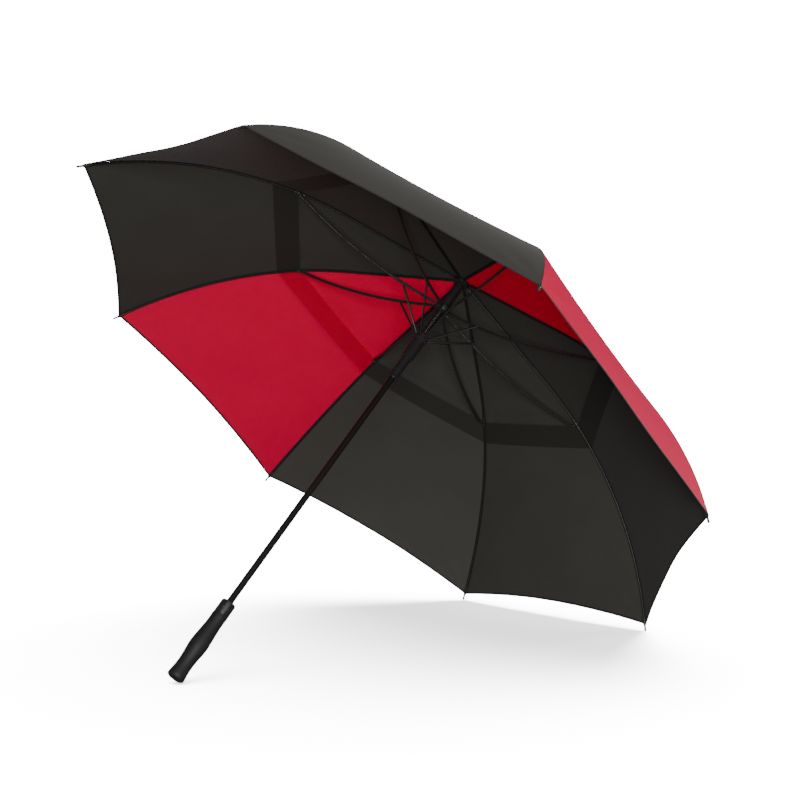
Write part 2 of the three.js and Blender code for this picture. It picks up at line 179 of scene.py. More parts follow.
def signedVolume(points, faces):
    # six times the volume inside the faces, each face taken as a fan from its first corner
    total = 0.0
    p = np.asarray(points, float).reshape(-1, 3)
    p = p - p.mean(axis=0)
    for size in {len(f) for f in faces}:
        f = np.array([g for g in faces if len(g) == size])
        for k in range(1, size - 1):
            total += (p[f[:, 0]] * np.cross(p[f[:, k]], p[f[:, k + 1]])).sum()
    return total


def solidPiece(name, points, faces, *rest, **options):
    # newPiece with its faces turned outwards
    if signedVolume(points, faces) < 0:
        faces = [f[::-1] for f in faces]
    return newPiece(name, points, faces, *rest, **options)


def carried(path, across, other, profile):
    # a flat profile carried along a path: path + u across + v other, for each (u, v)
    profile = np.asarray(profile, float)
    return (path[:, None] + profile[None, :, :1] * across[:, None]
            + profile[None, :, 1:] * other[:, None])


def ring(radius, count, flat=1.0):
    # (cos a, flat sin a) times the radius
    a = np.linspace(0, 2 * math.pi, count, endpoint=False)
    return np.stack([radius * np.cos(a), radius * flat * np.sin(a)], -1)


def smooth(value, low, high):
    # 0 below low, 1 above high and 3t^2 - 2t^3 between them
    t = np.clip((value - low) / (high - low), 0, 1)
    return t * t * (3 - 2 * t)


def fixed(n):
    # a number between 0 and 1 that is the same for the same n: part of a large sine
    return (math.sin(n * 12.9898) * 43758.5453) % 1


# materials
def nodeGroup(name, inputs, outputs):
    group = bpy.data.node_groups.new(name, "ShaderNodeTree")
    for label, value in inputs.items():
        socket = group.interface.new_socket(
            name=label, in_out="INPUT", socket_type="NodeSocketFloat")
        socket.default_value = value
    for label in outputs:
        group.interface.new_socket(name=label, in_out="OUTPUT", socket_type="NodeSocketFloat")
    return group, group.nodes.new("NodeGroupInput"), group.nodes.new("NodeGroupOutput")


def addNode(tree, kind, **values):
    node = tree.nodes.new(kind)
    for key, value in values.items():
        setattr(node, key, value)
    return node


def mathNode(tree, operation, first, second=None):
    node = addNode(tree, "ShaderNodeMath", operation=operation)
    for socket, value in zip(node.inputs, (first, second)):
        if value is not None:
            tree.links.new(value, socket)
    return node.outputs[0]


def clothUv(group):
    # the piece's own map: u across the gore and v along the rib, both in metres
    uv = addNode(group, "ShaderNodeUVMap", uv_map="cloth")
    split = addNode(group, "ShaderNodeSeparateXYZ")
    group.links.new(uv.outputs[0], split.inputs[0])
    return uv.outputs[0], split.outputs[0], split.outputs[1]


def noiseNode(group, where, scale, detail):
    noise = addNode(group, "ShaderNodeTexNoise")
    noise.inputs["Detail"].default_value = detail
    group.links.new(where, noise.inputs["Vector"])
    group.links.new(scale, noise.inputs["Scale"])
    return noise.outputs[0]


def weaveGroup():
    # height is the larger of two crossed sine waves, one along each thread; clouds are slow noise
    group, given, gives = nodeGroup(
        "clothWeave", {"Threads": 2200.0, "Cloud": 9.0}, ("Height", "Cloudiness"))
    whole, u, v = clothUv(group)
    waves = [mathNode(group, "SINE", mathNode(group, "MULTIPLY", way, given.outputs["Threads"]))
             for way in (u, v)]
    group.links.new(mathNode(group, "MAXIMUM", *waves), gives.inputs["Height"])
    cloud = noiseNode(group, whole, given.outputs["Cloud"], 4)
    group.links.new(cloud, gives.inputs["Cloudiness"])
    return group


def grainGroup():
    # fine noise for the height and coarse noise for the clouds, on the object's own coordinates
    group, given, gives = nodeGroup(
        "fineGrain", {"Fine": 900.0, "Coarse": 60.0}, ("Height", "Cloudiness"))
    where = addNode(group, "ShaderNodeTexCoord").outputs["Object"]
    for label, output in (("Fine", "Height"), ("Coarse", "Cloudiness")):
        noise = noiseNode(group, where, given.outputs[label], 3)
        group.links.new(noise, gives.inputs[output])
    return group


def overlapShadeGroup():
    # painted shade mask: 1 where the upper cloth lies behind the lower one, between two distances
    # along the rib, where the lower cloth is painted darker to stand in for the shade of two
    # layers letting less light through
    group, given, gives = nodeGroup(
        "overlapShadeBand", {"From": 0.34, "To": 0.392, "Soft": 0.001}, ("Mask",))
    begin, end, soft = (given.outputs[label] for label in ("From", "To", "Soft"))
    along = clothUv(group)[2]
    low = mathNode(group, "DIVIDE", mathNode(group, "SUBTRACT", along, begin), soft)
    high = mathNode(group, "DIVIDE", mathNode(group, "SUBTRACT", end, along), soft)
    inside = mathNode(group, "MINIMUM", low, high)
    inside.node.use_clamp = True
    group.links.new(inside, gives.inputs["Mask"])
    return group


weave, grain, overlapShade = weaveGroup(), grainGroup(), overlapShadeGroup()


def mixColours(tree, factor, first, second):
    # a mix of two colours, where the first is a socket or a plain colour
    node = addNode(tree, "ShaderNodeMix", data_type="RGBA")
    tree.links.new(factor, node.inputs[0])
    if isinstance(first, tuple):
        node.inputs[6].default_value = (*first, 1)
    else:
        tree.links.new(first, node.inputs[6])
    node.inputs[7].default_value = (*second, 1)
    return node.outputs[2]


def finish(name, look, group, **groupValues):
    # one Principled surface: its colour and roughness drift with the group's clouds, and the
    # group's height makes the bump
    material = bpy.data.materials.new(name)
    material.use_nodes = True
    tree = material.node_tree
    shader = tree.nodes["Principled BSDF"]
    for label, value in look.get("sockets", {}).items():
        shader.inputs[label].default_value = value
    pattern = addNode(tree, "ShaderNodeGroup", node_tree=group)
    for label, value in groupValues.items():
        pattern.inputs[label].default_value = value
    colour = mixColours(tree, pattern.outputs["Cloudiness"], look["dark"], look["light"])
    # a look with a band colour gets painted shade: a darker colour over the band where the upper
    # cloth lies behind the lower one
    if "overlapShade" in look:
        mask = addNode(tree, "ShaderNodeGroup", node_tree=overlapShade)
        colour = mixColours(tree, mask.outputs["Mask"], colour, look["overlapShade"])
    tree.links.new(colour, shader.inputs["Base Color"])
    span = addNode(tree, "ShaderNodeMapRange")
    span.inputs["To Min"].default_value, span.inputs["To Max"].default_value = look["rough"]
    tree.links.new(pattern.outputs["Cloudiness"], span.inputs["Value"])
    tree.links.new(span.outputs[0], shader.inputs["Roughness"])
    bump = addNode(tree, "ShaderNodeBump")
    bump.inputs["Strength"].default_value = look["bump"]
    bump.inputs["Distance"].default_value = look["relief"]
    tree.links.new(pattern.outputs["Height"], bump.inputs["Height"])
    tree.links.new(bump.outputs[0], shader.inputs["Normal"])
    return material


threads = {"Threads": 2200, "Cloud": 9}
blackLook = {
    "dark": (0.041, 0.039, 0.0335), "light": (0.051, 0.049, 0.0425),
    "rough": (0.62, 0.74), "bump": 0.25, "relief": 0.0001,
    "sockets": {"Sheen Weight": 0.05, "Sheen Roughness": 0.3, "Specular IOR Level": 0.15},
}
redLook = {
    "dark": (0.54, 0.0008, 0.042), "light": (0.61, 0.0012, 0.05),
    "rough": (0.62, 0.74), "bump": 0.25, "relief": 0.0001,
    "sockets": {
        "Specular IOR Level": 0.06, "Subsurface Weight": 0.5,
        "Subsurface Radius": (1.0, 0.12, 0.12), "Subsurface Scale": 0.002,
    },
}
blackCloth = finish("blackCloth", blackLook, weave, **threads)
redCloth = finish("redCloth", redLook, weave, **threads)
# darker colours for the overlap band of the lower cloth: painted shade, not the cloth's own colour
blackShadeBand = {**blackLook, "overlapShade": (0.0245, 0.0225, 0.019)}
redShadeBand = {**redLook, "overlapShade": (0.5, 0.0006, 0.027)}
blackLower = finish("blackLower", blackShadeBand, weave, **threads)
redLower = finish("redLower", redShadeBand, weave, **threads)

bindingTape = finish("bindingTape", {
    "dark": (0.010, 0.0095, 0.009), "light": (0.016, 0.015, 0.014),
    "rough": (0.75, 0.9), "bump": 0.3, "relief": 0.0002,
}, grain, Fine=1500, Coarse=40)
shaftPaint = finish("shaftPaint", {
    "dark": (0.008, 0.007, 0.007), "light": (0.012, 0.010, 0.010),
    "rough": (0.2, 0.28), "bump": 0.03, "relief": 0.0001,
    "sockets": {"Coat Weight": 0.25, "Coat Roughness": 0.12},
}, grain, Fine=600, Coarse=12)
mouldedPlastic = finish("mouldedPlastic", {
    "dark": (0.012, 0.012, 0.012), "light": (0.018, 0.018, 0.018),
    "rough": (0.4, 0.52), "bump": 0.06, "relief": 0.0002,
    "sockets": {"Specular IOR Level": 0.35},
}, grain, Fine=900, Coarse=40)
satinPlastic = finish("satinPlastic", {
    "dark": (0.013, 0.013, 0.0135), "light": (0.018, 0.018, 0.0185),
    "rough": (0.3, 0.4), "bump": 0.05, "relief": 0.0002,
    "sockets": {"Specular IOR Level": 0.4},
}, grain, Fine=900, Coarse=30)
buttonPlastic = finish("buttonPlastic", {
    "dark": (0.035, 0.035, 0.036), "light": (0.05, 0.05, 0.051),
    "rough": (0.35, 0.5), "bump": 0.05, "relief": 0.0002,
}, grain, Fine=900, Coarse=30)
gripFoam = finish("gripFoam", {
    "dark": (0.0075, 0.0075, 0.0078), "light": (0.012, 0.012, 0.0124),
    "rough": (0.55, 0.68), "bump": 0.25, "relief": 0.0004,
    "sockets": {"Specular IOR Level": 0.4},
}, grain, Fine=1400, Coarse=50)
fibreglass = finish("fibreglass", {
    "dark": (0.009, 0.009, 0.009), "light": (0.014, 0.014, 0.014),
    "rough": (0.36, 0.5), "bump": 0.04, "relief": 0.0001,
    "sockets": {"Specular IOR Level": 0.25},
}, grain, Fine=1200, Coarse=30)
linkSteel = finish("linkSteel", {
    "dark": (0.012, 0.012, 0.012), "light": (0.018, 0.018, 0.018),
    "rough": (0.32, 0.45), "bump": 0.04, "relief": 0.0001,
    "sockets": {"Specular IOR Level": 0.4},
}, grain, Fine=900, Coarse=25)
springWire = finish("springWire", {
    "dark": (0.03, 0.03, 0.032), "light": (0.05, 0.05, 0.052),
    "rough": (0.3, 0.42), "bump": 0.03, "relief": 0.0001,
    "sockets": {"Metallic": 0.7},
}, grain, Fine=900, Coarse=60)
rivetSteel = finish("rivetSteel", {
    "dark": (0.03, 0.03, 0.031), "light": (0.05, 0.05, 0.051),
    "rough": (0.42, 0.55), "bump": 0.03, "relief": 0.0001,
    "sockets": {"Metallic": 0.3},
}, grain, Fine=900, Coarse=60)
print("materials ready")


# canopy cloth, made as half gores so that each half can gather to its own rib
canopy = {
    "thick": 0.0004, "overRib": 0.0027, "seamGap": 0.00005, "hemDip": 0.016, "hemShort": 0.001,
    "sag": 0.004, "rows": 56, "columns": 25, "keep": 0.14, "foldTilt": math.radians(20),
    "nearCrown": 0.004, "nearSeam": 0.003,
}
vent = {
    "lowerFrom": 0.340, "upperTo": 0.393, "lift": 0.0028, "liftFrom": 0.300, "upperFrom": -0.002,
    "keep": 0.25, "foldTilt": math.radians(10), "sewn": 0.03, "sewnLift": 0.2,
}
folds = {
    "height": 0.0006, "reach": 0.10, "growFrom": 0.004, "growTo": 0.03, "rays": 9, "turn": 6,
    "width": 0.5, "cornerGap": 0.004, "flutter": 0.0012, "flutterReach": 0.09, "waves": 1.5,
}
redGores = (2, 6)


def goreFrame(gore, along):
    # the facet between two neighbouring arms: its middle direction times the sine of its slope,
    # plus up times the cosine, is its normal
    x, z, slope = ribLine(along)
    facet = np.arctan(np.tan(slope) / math.cos(halfTurn))
    middle = unit(outward[(gore - 1) % armCount] + outward[gore % armCount])
    normal = middle * np.sin(facet)[..., None] + shaftUp * np.cos(facet)[..., None]
    return x, z, facet, normal


def clothFolds(gore, across, along, hemAt):
    # tension folds that fan out from the two hem corners, as a sine of the angle that fades with
    # distance, and a slow flutter near the hem
    total = 0.0
    toHem = hemAt - along
    for corner in (0, 1):
        side = np.abs(across - corner) * folds["width"] + folds["cornerGap"]
        reach = np.hypot(side, toHem)
        fan = np.sin(folds["rays"] * np.arctan2(toHem, side)
                     + folds["turn"] * fixed(gore * 3 + corner))
        fade = np.exp(-(reach / folds["reach"]) ** 2)
        grow = smooth(reach, folds["growFrom"], folds["growTo"])
        total = total + folds["height"] * fade * grow * fan
    near = np.exp(-(toHem / folds["flutterReach"]) ** 2)
    span = 4 * across * (1 - across)
    wave = np.sin(2 * math.pi * (folds["waves"] * across + fixed(gore + 40)))
    return total + folds["flutter"] * near * span * wave


def goreSurface(gore, across, along, hemAt, rise):
    # straight from rib to rib, hollowed inwards by 4u(1-u) times the sag, and raised off the ribs
    x, z, facet, normal = goreFrame(gore, along)
    near = place(gore - 1, x, 0 * x, z)
    far = place(gore, x, 0 * x, z)
    spare = (np.sin(facet) * math.sin(halfTurn) * rise
             / (np.maximum(x, canopy["nearCrown"]) * math.sin(2 * halfTurn)))
    inset = canopy["seamGap"] / np.maximum(x * math.sin(2 * halfTurn), canopy["nearSeam"])
    share = (across * (1 + 2 * (spare - inset)) - (spare - inset))[..., None]
    grown = np.minimum(np.maximum(along, 0) / ribShape["straight"], 1)
    hollow = canopy["sag"] * grown * 4 * across * (1 - across)
    extra = clothFolds(gore, across, along, hemAt)
    return near + (far - near) * share + normal * (rise - hollow + extra)[..., None]


def lowerEnd(across):
    # the hem's middle is hemDip short of the tips, in a parabola
    return ribLength - canopy["hemShort"] - canopy["hemDip"] * (1 - (2 * across - 1) ** 2)


def upperEnd(across):
    return vent["upperTo"] + 0 * across


def flatLift(along):
    return 0 * along


def ventLift(along):
    return vent["lift"] * smooth(along, vent["liftFrom"], vent["lowerFrom"])


def sewnDown(across, along):
    # the upper cloth is sewn at the ribs: its lift grows to the whole over the first stretch
    x, _, _ = ribLine(along)
    fromRib = np.minimum(across, 1 - across) * 2 * x * math.sin(halfTurn)
    return vent["sewnLift"] + (1 - vent["sewnLift"]) * smooth(fromRib, 0.0, vent["sewn"])


def clothHalf(name, gore, side, start, endOf, liftOf, body, colours):
    # rows along the rib and columns across half the gore; gives the piece, its flat size and area
    rows, columns = canopy["rows"], canopy["columns"]
    v, u = np.meshgrid(np.linspace(0, 1, rows), np.linspace(0, 0.5, columns), indexing="ij")
    across = u if side == 0 else 1 - u[:, ::-1]
    hemAt = endOf(across)
    along = start + v * (hemAt - start)
    rise = canopy["overRib"] + liftOf(along) * sewnDown(across, along)
    half = canopy["thick"] / 2
    layers = [goreSurface(gore, across, along, hemAt, rise + way * half) for way in (1, -1)]
    points = np.concatenate([layer.reshape(-1, 3) for layer in layers])
    x, _, _ = ribLine(along)
    width = 2 * x * math.sin(halfTurn)
    uv = np.stack([(across - 0.5) * width, along], -1)
    red = gore in redGores
    piece = solidPiece(
        name, points, shellFaces(rows, columns), body, "red_cloth" if red else "black_cloth",
        colours[red], uv=np.concatenate([uv.reshape(-1, 2)] * 2), sharp=60)
    area = float((width[:, :1] / 2).mean() * (along[-1].mean() - along[0, 0]))
    flat = (round(float(width.max()) / 2, 4), round(float(along.max()) - start, 4))
    return piece, flat, min(area, flat[0] * flat[1])


def foldAway(piece):
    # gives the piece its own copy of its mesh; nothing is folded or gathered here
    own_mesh(piece)


def halfGores():
    # every half gore: its gore, its side, the arm that holds it, that arm's body and the end of
    # its name
    for gore in range(1, armCount + 1):
        for side in (0, 1):
            arm = (gore - 1 + side) % armCount
            yield gore, side, arm, f"arm_{arm + 1}", f"{gore}{'ab'[side]}"


for gore, side, arm, body, ending in halfGores():
    lower, flat, area = clothHalf(
        f"canopy_cloth_{ending}", gore, side, vent["lowerFrom"], lowerEnd, flatLift, body,
        (blackLower, redLower))
    upper, flatTop, areaTop = clothHalf(
        f"vent_cloth_{ending}", gore, side, vent["upperFrom"], upperEnd, ventLift, body,
        (blackCloth, redCloth))
    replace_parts(lower, f"canopy_gore_{gore}")
    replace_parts(upper, f"vent_gore_{gore}")
    foldAway(lower)
    foldAway(upper)
print("canopy cloth ready")


# hem binding below and a turned hem above, one length for each half gore
hemTape = {"width": 0.0048, "thick": 0.0013, "back": 0.0012, "steps": 40, "sides": 12}
turnedHem = {"width": 0.006, "thick": 0.0009, "back": 0.0028, "steps": 40, "sides": 12}
inwardStep = 0.002


def tapeAlong(name, gore, side, endOf, liftOf, body, tape, material, slot):
    # a flat rounded tape whose middle line follows the cloth's edge, moved in from it by back
    u = np.linspace(0.5 * side, 0.5 * side + 0.5, tape["steps"])
    hemAt = endOf(u)
    rise = canopy["overRib"] + liftOf(hemAt) * sewnDown(u, hemAt)
    edge = goreSurface(gore, u, hemAt - tape["back"], hemAt, rise)
    further = goreSurface(gore, u, hemAt - tape["back"] - inwardStep, hemAt, rise)
    tangent = unit(np.gradient(edge, axis=0))
    inwards = unit(further - edge)
    inwards = unit(inwards - (inwards * tangent).sum(-1, keepdims=True) * tangent)
    normal = np.cross(tangent, inwards)
    profile = ring(tape["width"] / 2, tape["sides"], tape["thick"] / tape["width"])
    points = carried(edge, inwards, normal, profile)
    uv = np.stack([0 * points[..., 0] + u[:, None], 0 * points[..., 0]], -1)
    faces = tubeFaces(len(u), tape["sides"])
    return solidPiece(name, points, faces, body, slot, material, uv=uv)


for gore, side, arm, body, ending in halfGores():
    hem = tapeAlong(f"hem_binding_{ending}", gore, side, lowerEnd, flatLift, body, hemTape,
                    bindingTape, "black_cloth")
    foldAway(hem)
    upperFinish = (redCloth, "red_cloth") if gore in redGores else (blackCloth, "black_cloth")
    upperHem = tapeAlong(f"vent_hem_{ending}", gore, side, upperEnd, ventLift, body, turnedHem,
                         *upperFinish)
    foldAway(upperHem)
print("bindings ready")


# ribs and their tips
def rodPiece(arm):
    # the rib's line carried with a round section
    along = np.linspace(ribShape["rodFrom"], ribLength - ribShape["rodShort"],
                        ribShape["rodSteps"])
    x, z, slope = ribLine(along)
    path = place(arm, x, 0 * x, z)
    across = np.broadcast_to(sideways[arm], path.shape)
    section = ring(ribShape["radius"], ribShape["rodSides"])
    points = carried(path, across, ribUp(arm, slope), section)
    return solidPiece(f"rib_rod_{arm + 1}", points, tubeFaces(len(along), len(section)),
                      f"arm_{arm + 1}", "rib_fibreglass", fibreglass)


def turnedOnRib(name, arm, at, profile, slot, material, sides=24):
    # a profile of (distance along the rib, radius) turned round the rib's line at one point of it
    x, z, slope = ribPoint(at)
    ahead = math.cos(slope) * outward[arm] - math.sin(slope) * shaftUp
    up = math.sin(slope) * outward[arm] + math.cos(slope) * shaftUp
    origin = place(arm, x, 0.0, z)
    profile = np.array(profile, float)
    a = np.linspace(0, 2 * math.pi, sides, endpoint=False)
    spokes = np.cos(a)[:, None] * sideways[arm] + np.sin(a)[:, None] * up
    points = origin + profile[:, None, :1] * ahead + profile[:, None, 1:] * spokes[None]
    faces = tubeFaces(len(profile), sides)
    return solidPiece(name, points, faces, f"arm_{arm + 1}", slot, material)


tipCap = {
    "profile": [
        (-0.014, 0.0022), (-0.014, 0.0030), (-0.0136, 0.0031), (-0.011, 0.0031),
        (-0.0108, 0.0028), (-0.0103, 0.0028), (-0.0101, 0.0031), (-0.0012, 0.0031),
        (0.0002, 0.0027), (0.0012, 0.0021), (0.0112, 0.0021), (0.0122, 0.0019),
        (0.0128, 0.0014), (0.0130, 0.0007),
    ],
}
for arm in range(armCount):
    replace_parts(rodPiece(arm), f"rib_{arm + 1}")
    cap = turnedOnRib(f"tip_cap_{arm + 1}", arm, ribLength, tipCap["profile"], "tip_plastic",
                      mouldedPlastic)
    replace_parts(cap, f"rib_tip_{arm + 1}")
print("ribs and tips ready")


# the turned pieces on the shaft keep their CAD form, with merged, smoothly shaded skins
def smoothCopy(name, node, body, slot, material, sharp=32):
    mesh = frame["nodes"][node].data
    corners = np.empty(len(mesh.loops), np.int32)
    mesh.loops.foreach_get("vertex_index", corners)
    points = np.empty(len(mesh.vertices) * 3)
    mesh.vertices.foreach_get("co", points)
    points = points.reshape(-1, 3)
    _, first, same = np.unique(np.round(points, 6), axis=0, return_index=True, return_inverse=True)
    triangles = same.ravel()[corners].reshape(-1, 3)
    whole = (triangles != np.roll(triangles, 1, axis=1)).all(axis=1)
    faces = triangles[whole].tolist()
    piece = newPiece(name, points[first], faces, body, slot, material, sharp=sharp)
    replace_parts(piece, node)


smoothCopy("crown_disc", "crown", "root", "moulded_plastic", mouldedPlastic)
smoothCopy("crown_cover", "crown_cap", "root", "moulded_plastic", mouldedPlastic)
smoothCopy("ferrule_turned", "ferrule", "root", "moulded_plastic", mouldedPlastic)
smoothCopy("sleeve_tube", "stop_sleeve", "root", "sleeve_plastic", mouldedPlastic)
smoothCopy("shaft_tube", "shaft", "root", "shaft_paint", shaftPaint)
smoothCopy("hub_disc", "stretcher_hub", "hub", "moulded_plastic", mouldedPlastic)
smoothCopy("runner_body", "runner", "runner", "moulded_plastic", satinPlastic)
smoothCopy("collar", "handle_core", "root", "handle_plastic", satinPlastic)
smoothCopy("button_pin", "lever_pin", "root", "pin_steel", rivetSteel)
smoothCopy("grip_sleeve", "grip", "root", "grip_foam", gripFoam, sharp=40)


# the button: a rocking lever in the collar's window, with a crowned pad as its outer face
button = {
    "face": 0.0142, "half": 0.0038, "top": -0.7722, "foot": -0.7951, "back": 0.0112,
    "crowned": 0.0005, "slantFrom": -0.7775, "slant": 0.0012, "footRound": 0.0009,
    "footFrom": 0.93, "footSpan": 0.07, "across": 17, "along": 41, "inset": 0.0002,
    "lever": [
        (0.0134, -0.7775), (0.0122, -0.7724), (0.0083, -0.7724), (0.0083, -0.7742),
        (0.0109, -0.7754), (0.0109, -0.781), (0.0096, -0.782), (0.0096, -0.788),
        (0.011, -0.7895), (0.011, -0.7945), (0.0126, -0.7949), (0.0134, -0.7942),
    ],
}
buttonOut = np.array(joints["release_press"]["pos_m"], float) - crown
buttonOut = unit(buttonOut - buttonOut.dot(shaftUp) * shaftUp)


def inHandle(x, y, z):
    # x outwards through the button, y across it and z up the shaft
    x, y, z = (np.asarray(c, float)[..., None] for c in (x, y, z))
    return crown + x * buttonOut + y * np.cross(shaftUp, buttonOut) + z * shaftUp


def buttonPad():
    # a grid of u across and v along: crowned by u to the fourth, slanted in at the top and rounded
    # in at the foot
    u, v = np.meshgrid(np.linspace(-1, 1, button["across"]), np.linspace(0, 1, button["along"]),
                       indexing="ij")
    y = button["half"] * u
    z = button["top"] + (button["foot"] - button["top"]) * v
    slanted = button["slant"] * smooth(z, button["slantFrom"], button["top"])
    rounded = np.clip((v - button["footFrom"]) / button["footSpan"], 0, 1) ** 2
    x = (button["face"] - button["crowned"] * u ** 4 - slanted
         - button["footRound"] * rounded)
    faces = shellFaces(button["across"], button["along"])
    points = np.concatenate([inHandle(depth, y, z).reshape(-1, 3)
                             for depth in (x, button["back"] + 0 * x)])
    return solidPiece("button_pad", points, faces, "release", "button_plastic", buttonPlastic,
                      sharp=50)


def buttonLever():
    # the lever's outline in x and z, carried across the window's width behind the pad
    outline = np.array(button["lever"])
    y = (np.array([-1, 1]) * (button["half"] - button["inset"]))[:, None]
    x, z = outline[None, :, 0], outline[None, :, 1]
    points = inHandle(x + 0 * y, y + 0 * x, z + 0 * y)
    return solidPiece("button_lever", points, tubeFaces(2, len(outline)), "release",
                      "button_plastic", buttonPlastic, sharp=20)


buttonPad()
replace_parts(buttonLever(), "release_lever")


# folded steel links, their eyes and rivets
link = {
    "side": 0.0039, "width": 0.0044, "height": 0.0046, "wall": 0.0008, "bend": 0.0007,
    "bendSteps": 4, "bow": 0.016, "dropFromRib": 0.0052, "bracketAt": 0.336, "clear": 0.03,
    "steps": 60, "eyeThick": 0.0024, "eyeHalf": 0.0021, "eyeReach": 0.05, "eyeFrom": 0.0009,
    "eyeShort": 0.0001, "hubPin": (0.0115, -0.075), "runnerPin": (0.012, -0.150),
    "strutAt": 0.088, "reach": 0.32791, "strutSide": 0.00125, "strutThick": 0.0022,
}


def stretcherLine(share):
    # an arc from the hub's pin to the rib's bracket, bowed towards the handle, with the radius
    # (chord^2/4 + bow^2) / (2 bow); gives x, z and the downward slope
    x0, z0 = link["hubPin"]
    bx, bz, slope = ribPoint(link["bracketAt"])
    x1 = bx - link["dropFromRib"] * math.sin(slope)
    z1 = bz - link["dropFromRib"] * math.cos(slope)
    chord, fall = math.hypot(x1 - x0, z1 - z0), math.atan2(z0 - z1, x1 - x0)
    radius = (chord ** 2 / 4 + link["bow"] ** 2) / (2 * link["bow"])
    half = math.asin(chord / 2 / radius)
    angle = (np.asarray(share, float) - 0.5) * 2 * half
    x = chord / 2 + radius * np.sin(angle)
    z = radius * (math.cos(half) - np.cos(angle))
    return (x0 + x * math.cos(fall) + z * math.sin(fall),
            z0 - x * math.sin(fall) + z * math.cos(fall), fall - angle)


def stretcherPoint(share):
    # the arc's x and z at one place, as plain numbers
    x, z, _ = stretcherLine(share)
    return float(x), float(z)


plate = {"edge": 0.0003, "corners": 13}


def flatLink(name, arm, begin, end, half, low, high, body):
    # a flat bar with round ends between two pins: its outline at four heights across the plate,
    # drawn in a little at both faces
    edge = plate["edge"]
    begin, end = np.array(begin), np.array(end)
    along = unit(end - begin)
    square = np.array([-along[1], along[0]])
    a = np.linspace(math.pi / 2, 3 * math.pi / 2, plate["corners"])
    roundEnd = np.stack([np.cos(a), np.sin(a)], -1)
    outline = np.concatenate([roundEnd, -roundEnd])
    centres = np.repeat([begin, end], plate["corners"], axis=0)
    heights = np.array([low, low + edge, high - edge, high])
    insets = np.array([edge, 0, 0, edge])
    spread = (half - insets)[:, None, None] * outline[None]
    flat = centres[None] + spread[..., :1] * along + spread[..., 1:] * square
    points = place(arm, flat[..., 0], heights[:, None] + 0 * flat[..., 0], flat[..., 1])
    faces = tubeFaces(len(heights), len(outline))
    return solidPiece(name, points, faces, body, "link_steel", linkSteel, sharp=50)


# each pin's overhang past the plates it holds; a dome's points are a height over the plate and
# a share of the radius
pins = {
    "bracket": {"under": 0.0004, "over": 0.0008, "radius": 0.0013},
    "hub": {"under": 0.0009, "over": 0.0009, "radius": 0.0008},
    "strut": {"under": 0.0, "over": 0.001, "radius": 0.0012},
    "runner": {"under": 0.0009, "over": 0.0031, "radius": 0.0008},
}
dome = {"points": ((0.0005, 0.35), (0.0004, 0.7), (0.0, 1.0)), "sides": 16}


def rivet(name, arm, at, low, high, pin, body):
    # a pin across the link with a low dome on each end
    low, high = low - pin["under"], high + pin["over"]
    profile = np.array([(low - rise, share) for rise, share in dome["points"]]
                       + [(high + rise, share) for rise, share in dome["points"][::-1]])
    a = np.linspace(0, 2 * math.pi, dome["sides"], endpoint=False)
    reach = pin["radius"] * profile[:, 1:]
    points = place(arm, at[0] + reach * np.cos(a), profile[:, :1] + 0 * reach * a,
                   at[1] + reach * np.sin(a))
    faces = tubeFaces(len(profile), dome["sides"])
    return solidPiece(name, points, faces, body, "pin_steel", rivetSteel)


def channelProfile():
    # across and up: a U with its open side towards the rib and its two lower corners rounded
    w, h, t, r = link["width"] / 2, link["height"] / 2, link["wall"], link["bend"]
    a = np.linspace(0, math.pi / 2, link["bendSteps"])
    right = np.stack([w - r + r * np.sin(a), -h + r - r * np.cos(a)], -1)
    left = right[::-1] * [-1, 1]
    inner = [(w, h), (w - t, h), (w - t, -h + t), (-w + t, -h + t), (-w + t, h), (-w, h)]
    return np.concatenate([right, inner, left])


def stretcherChannel(arm):
    # the U carried along the stretcher's arc, short of both eyes
    share = np.linspace(link["clear"], 1 - link["clear"], link["steps"])
    x, z, slope = stretcherLine(share)
    path = place(arm, x, link["side"] + link["width"] / 2 + 0 * x, z)
    profile = channelProfile()
    across = np.broadcast_to(sideways[arm], path.shape)
    points = carried(path, across, ribUp(arm, slope), profile)
    return solidPiece(f"stretcher_channel_{arm + 1}", points,
                      tubeFaces(link["steps"], len(profile)), f"stretcher_{arm + 1}",
                      "link_steel", linkSteel, sharp=30)


ribFitting = {
    "eyeTo": 0.019, "eyeHalf": 0.0024, "eyeSide": 0.0011,
    "lugHalf": 0.0025, "lugFrom": 0.001, "lugGap": 0.0004,
    "sleeve": [
        (-0.011, 0.0022), (-0.011, 0.0030), (-0.0105, 0.0032), (-0.0065, 0.0032),
        (-0.006, 0.0029), (-0.005, 0.0029), (-0.0045, 0.0032), (0.0045, 0.0032),
        (0.005, 0.0029), (0.006, 0.0029), (0.0065, 0.0032), (0.0105, 0.0032),
        (0.011, 0.0030), (0.011, 0.0022),
    ],
}


def linksOf(arm):
    # one arm's stretcher and strut with their eyes and pins
    n = arm + 1
    stretcher = f"stretcher_{n}"
    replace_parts(stretcherChannel(arm), stretcher)
    low, high = link["side"], link["side"] + link["eyeThick"]
    for where, end, back in (("inner", 0, link["eyeReach"]), ("outer", 1, 1 - link["eyeReach"])):
        flatLink(f"stretcher_{where}_eye_{n}", arm, stretcherPoint(end), stretcherPoint(back),
                 link["eyeHalf"], low + link["eyeFrom"], high - link["eyeShort"], stretcher)
    rivet(f"bracket_rivet_{n}", arm, stretcherPoint(1), low, high, pins["bracket"], stretcher)
    rivet(f"hub_pin_{n}", arm, link["hubPin"], low, high, pins["hub"], "hub")
    strutEnd = stretcherPoint((link["strutAt"] - link["hubPin"][0]) / link["reach"])
    low, high = link["strutSide"], link["strutSide"] + link["strutThick"]
    bar = flatLink(f"strut_bar_{n}", arm, link["runnerPin"], strutEnd, link["eyeHalf"], low, high,
                   f"strut_{n}")
    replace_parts(bar, f"strut_{n}")
    rivet(f"strut_rivet_{n}", arm, strutEnd, low, link["side"], pins["strut"], stretcher)
    rivet(f"runner_pin_{n}", arm, link["runnerPin"], low, low, pins["runner"], "runner")


